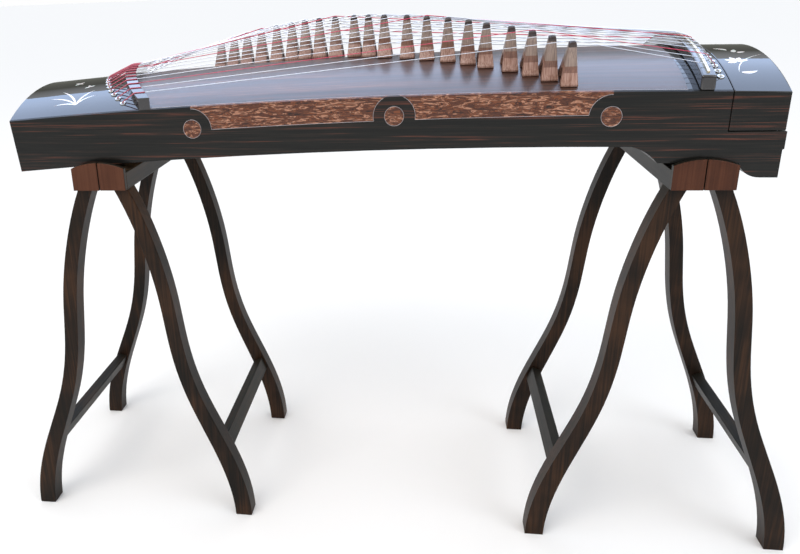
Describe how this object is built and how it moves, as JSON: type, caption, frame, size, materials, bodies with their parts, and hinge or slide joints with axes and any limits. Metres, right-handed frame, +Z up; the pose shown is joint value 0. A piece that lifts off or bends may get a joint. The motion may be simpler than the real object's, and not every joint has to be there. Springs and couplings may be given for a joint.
{
  "type": "guzheng on folding stands",
  "caption": "Long arched zither with strings over movable bridges, lidded tuning box and inlaid sides, resting on a pair of folding A-frame stands.",
  "frame": {"origin": "on the floor, midway between the two stands and midway across them", "axes": "+X along the strings from the tail to the head, +Y away from the player, +Z up"},
  "size_m": [1.1454, 0.348, 0.7499],
  "materials": {
    "ebony": "polished, dark with brown streaks",
    "paulownia_top": "satin, toasted brown",
    "black_lacquer": "high gloss black lacquer with mother-of-pearl inlay",
    "burl": "polished figured burl",
    "medallion_burl": "polished figured burl with a silver ring",
    "black_nut": "polished black hardwood",
    "saddle_brass": "polished",
    "grommet_brass": "polished",
    "pin_steel": "turned",
    "pin_block_beech": "plain",
    "string_steel": "wound, silvery; every fifth one red",
    "bridge_rosewood": "oiled, darker towards the tip",
    "inner_paulownia": "plain, unfinished",
    "dark_hardwood": "dark stained",
    "stained_walnut": "satin, dark walnut stain",
    "hinge_brass": "satin",
    "pearl": "mother-of-pearl, iridescent",
    "silver_line": "thin bright inlay line"
  },
  "bodies": {
    "head_stand_outer": {"head_stand_outer_bar": "stained_walnut", "head_stand_outer_legs": "stained_walnut", "head_stand_outer_stretcher": "stained_walnut", "head_stand_outer_hinge_leaves": "hinge_brass"},
    "head_stand_inner": {"head_stand_inner_bar": "stained_walnut", "head_stand_inner_legs": "stained_walnut", "head_stand_inner_stretcher": "stained_walnut", "head_stand_inner_hinge_leaves": "hinge_brass"},
    "sound_box": {"back_side_board": "ebony", "bottom_board": "inner_paulownia", "foot_block": "dark_hardwood", "front_side_board": "ebony", "head_end_board": "ebony", "head_grommets": "grommet_brass", "head_nut": "black_nut", "head_plate": "black_lacquer", "head_saddle_rod": "saddle_brass", "inner_braces": "inner_paulownia", "lid_hinge_fixed_leaves": "hinge_brass", "pin_block": "pin_block_beech", "side_inlays": "burl", "side_medallions": "medallion_burl", "soundboard": "paulownia_top", "strings": "string_steel", "tail_end_board": "ebony", "tail_grommets": "grommet_brass", "tail_nut": "black_nut", "tail_plate": "black_lacquer", "tuning_pins": "pin_steel"},
    "lid": {"lid": "black_lacquer", "lid_hinge_lid_leaves": "hinge_brass"},
    "bridge_01": {"bridge_01": "bridge_rosewood"},
    "bridge_02": {"bridge_02": "bridge_rosewood"},
    "bridge_03": {"bridge_03": "bridge_rosewood"},
    "bridge_04": {"bridge_04": "bridge_rosewood"},
    "bridge_05": {"bridge_05": "bridge_rosewood"},
    "bridge_06": {"bridge_06": "bridge_rosewood"},
    "bridge_07": {"bridge_07": "bridge_rosewood"},
    "bridge_08": {"bridge_08": "bridge_rosewood"},
    "bridge_09": {"bridge_09": "bridge_rosewood"},
    "bridge_10": {"bridge_10": "bridge_rosewood"},
    "bridge_11": {"bridge_11": "bridge_rosewood"},
    "bridge_12": {"bridge_12": "bridge_rosewood"},
    "bridge_13": {"bridge_13": "bridge_rosewood"},
    "bridge_14": {"bridge_14": "bridge_rosewood"},
    "bridge_15": {"bridge_15": "bridge_rosewood"},
    "bridge_16": {"bridge_16": "bridge_rosewood"},
    "bridge_17": {"bridge_17": "bridge_rosewood"},
    "bridge_18": {"bridge_18": "bridge_rosewood"},
    "bridge_19": {"bridge_19": "bridge_rosewood"},
    "bridge_20": {"bridge_20": "bridge_rosewood"},
    "bridge_21": {"bridge_21": "bridge_rosewood"},
    "tail_stand_outer": {"tail_stand_outer_bar": "stained_walnut", "tail_stand_outer_legs": "stained_walnut", "tail_stand_outer_stretcher": "stained_walnut", "tail_stand_outer_hinge_leaves": "hinge_brass"},
    "tail_stand_inner": {"tail_stand_inner_bar": "stained_walnut", "tail_stand_inner_legs": "stained_walnut", "tail_stand_inner_stretcher": "stained_walnut", "tail_stand_inner_hinge_leaves": "hinge_brass"}
  },
  "joints": [
    {"name": "head_stand_fold", "type": "hinge", "parent": "head_stand_outer", "child": "head_stand_inner", "pos_m": [0.392, 0, 0.5318], "axis": [0, -1, 0], "range_deg": [0, 28]},
    {"name": "box_lift_off", "type": "slide", "parent": "head_stand_outer", "child": "sound_box", "axis": [0, 0, 1], "range_m": [0, 0.2]},
    {"name": "lid_open", "type": "hinge", "parent": "sound_box", "child": "lid", "pos_m": [0.4817, 0, 0.6055], "axis": [0, 1, 0], "range_deg": [0, 100]},
    {"name": "bridge_01_slide", "type": "slide", "parent": "sound_box", "child": "bridge_01", "axis": [1, 0, 0.0034], "range_m": [-0.003, 0.015], "deforming": ["strings"]},
    {"name": "bridge_02_slide", "type": "slide", "parent": "sound_box", "child": "bridge_02", "axis": [1, 0, 0.0057], "range_m": [-0.003, 0.003], "deforming": ["strings"]},
    {"name": "bridge_03_slide", "type": "slide", "parent": "sound_box", "child": "bridge_03", "axis": [1, 0, 0.0079], "range_m": [-0.005, 0.003], "deforming": ["strings"]},
    {"name": "bridge_04_slide", "type": "slide", "parent": "sound_box", "child": "bridge_04", "axis": [0.9999, 0, 0.0103], "range_m": [-0.011, 0.005], "deforming": ["strings"]},
    {"name": "bridge_05_slide", "type": "slide", "parent": "sound_box", "child": "bridge_05", "axis": [0.9999, 0, 0.0134], "range_m": [-0.003, 0.011], "deforming": ["strings"]},
    {"name": "bridge_06_slide", "type": "slide", "parent": "sound_box", "child": "bridge_06", "axis": [0.9999, 0, 0.0156], "range_m": [-0.007, 0.003], "deforming": ["strings"]},
    {"name": "bridge_07_slide", "type": "slide", "parent": "sound_box", "child": "bridge_07", "axis": [0.9998, 0, 0.0182], "range_m": [-0.009, 0.007], "deforming": ["strings"]},
    {"name": "bridge_08_slide", "type": "slide", "parent": "sound_box", "child": "bridge_08", "axis": [0.9998, 0, 0.0211], "range_m": [-0.008, 0.009], "deforming": ["strings"]},
    {"name": "bridge_09_slide", "type": "slide", "parent": "sound_box", "child": "bridge_09", "axis": [0.9997, 0, 0.0238], "range_m": [-0.013, 0.008], "deforming": ["strings"]},
    {"name": "bridge_10_slide", "type": "slide", "parent": "sound_box", "child": "bridge_10", "axis": [0.9996, 0, 0.027], "range_m": [-0.004, 0.013], "deforming": ["strings"]},
    {"name": "bridge_11_slide", "type": "slide", "parent": "sound_box", "child": "bridge_11", "axis": [0.9996, 0, 0.0294], "range_m": [-0.003, 0.004], "deforming": ["strings"]},
    {"name": "bridge_12_slide", "type": "slide", "parent": "sound_box", "child": "bridge_12", "axis": [0.9995, 0, 0.0316], "range_m": [-0.01, 0.003], "deforming": ["strings"]},
    {"name": "bridge_13_slide", "type": "slide", "parent": "sound_box", "child": "bridge_13", "axis": [0.9994, 0, 0.0345], "range_m": [-0.007, 0.01], "deforming": ["strings"]},
    {"name": "bridge_14_slide", "type": "slide", "parent": "sound_box", "child": "bridge_14", "axis": [0.9993, 0, 0.0371], "range_m": [-0.005, 0.007], "deforming": ["strings"]},
    {"name": "bridge_15_slide", "type": "slide", "parent": "sound_box", "child": "bridge_15", "axis": [0.9992, 0, 0.0396], "range_m": [-0.004, 0.005], "deforming": ["strings"]},
    {"name": "bridge_16_slide", "type": "slide", "parent": "sound_box", "child": "bridge_16", "axis": [0.9991, 0, 0.0419], "range_m": [-0.008, 0.004], "deforming": ["strings"]},
    {"name": "bridge_17_slide", "type": "slide", "parent": "sound_box", "child": "bridge_17", "axis": [0.999, 0, 0.0446], "range_m": [-0.009, 0.008], "deforming": ["strings"]},
    {"name": "bridge_18_slide", "type": "slide", "parent": "sound_box", "child": "bridge_18", "axis": [0.9989, 0, 0.0475], "range_m": [-0.008, 0.009], "deforming": ["strings"]},
    {"name": "bridge_19_slide", "type": "slide", "parent": "sound_box", "child": "bridge_19", "axis": [0.9987, 0, 0.0502], "range_m": [-0.007, 0.008], "deforming": ["strings"]},
    {"name": "bridge_20_slide", "type": "slide", "parent": "sound_box", "child": "bridge_20", "axis": [0.9986, 0, 0.0528], "range_m": [-0.007, 0.007], "deforming": ["strings"]},
    {"name": "bridge_21_slide", "type": "slide", "parent": "sound_box", "child": "bridge_21", "axis": [0.9985, 0, 0.0555], "range_m": [-0.015, 0.007], "deforming": ["strings"]},
    {"name": "tail_stand_place", "type": "slide", "parent": "head_stand_outer", "child": "tail_stand_outer", "axis": [1, 0, 0], "range_m": [0, 0.08]},
    {"name": "tail_stand_fold", "type": "hinge", "parent": "tail_stand_outer", "child": "tail_stand_inner", "pos_m": [-0.392, 0, 0.5318], "axis": [0, 1, 0], "range_deg": [0, 28]}
  ]
}
